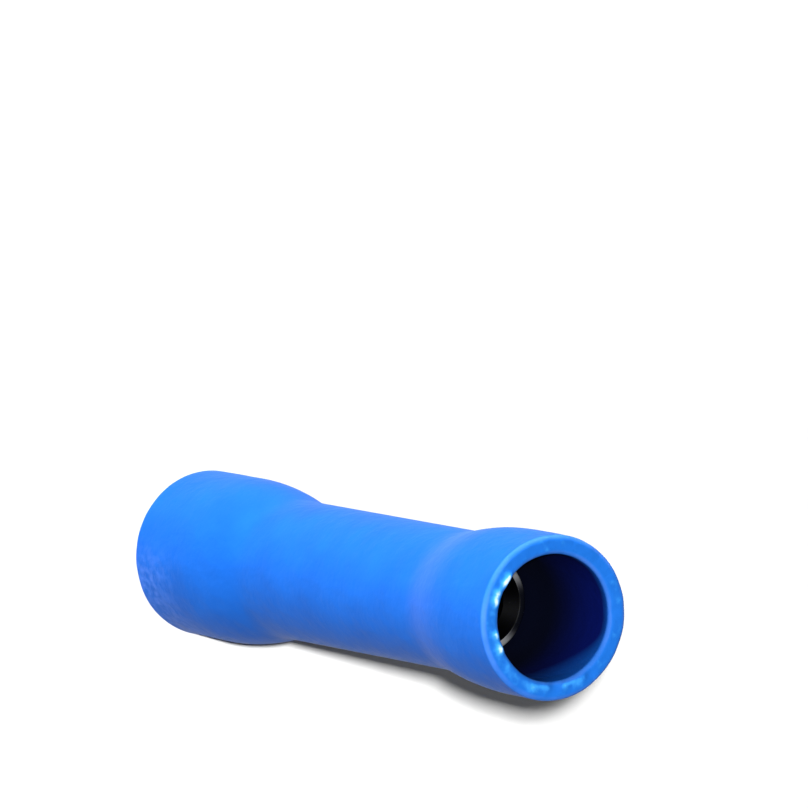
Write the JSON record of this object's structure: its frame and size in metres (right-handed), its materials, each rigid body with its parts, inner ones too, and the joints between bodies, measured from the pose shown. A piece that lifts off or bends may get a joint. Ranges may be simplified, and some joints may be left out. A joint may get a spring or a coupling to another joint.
{
  "type": "butt splice connector",
  "caption": "Insulated crimp splice: a tinned copper barrel with a wire stop, gripped in a blue vinyl sleeve with bell mouths, joins stranded wires end to end.",
  "frame": {"origin": "on the connector's axis, at mid-length, where the wire stop is", "axes": "+Z along the axis, up as the connector stands on one mouth; both ends are alike"},
  "size_m": [0.006, 0.006, 0.025],
  "materials": {
    "blue_vinyl": "satin, belled on a hot mandrel, knife-cut ends",
    "tinned_copper": "dull tin plate on drawn copper tube"
  },
  "bodies": {
    "root": {"insulating_sleeve": "blue_vinyl", "crimp_barrel": "tinned_copper"}
  },
  "joints": []
}
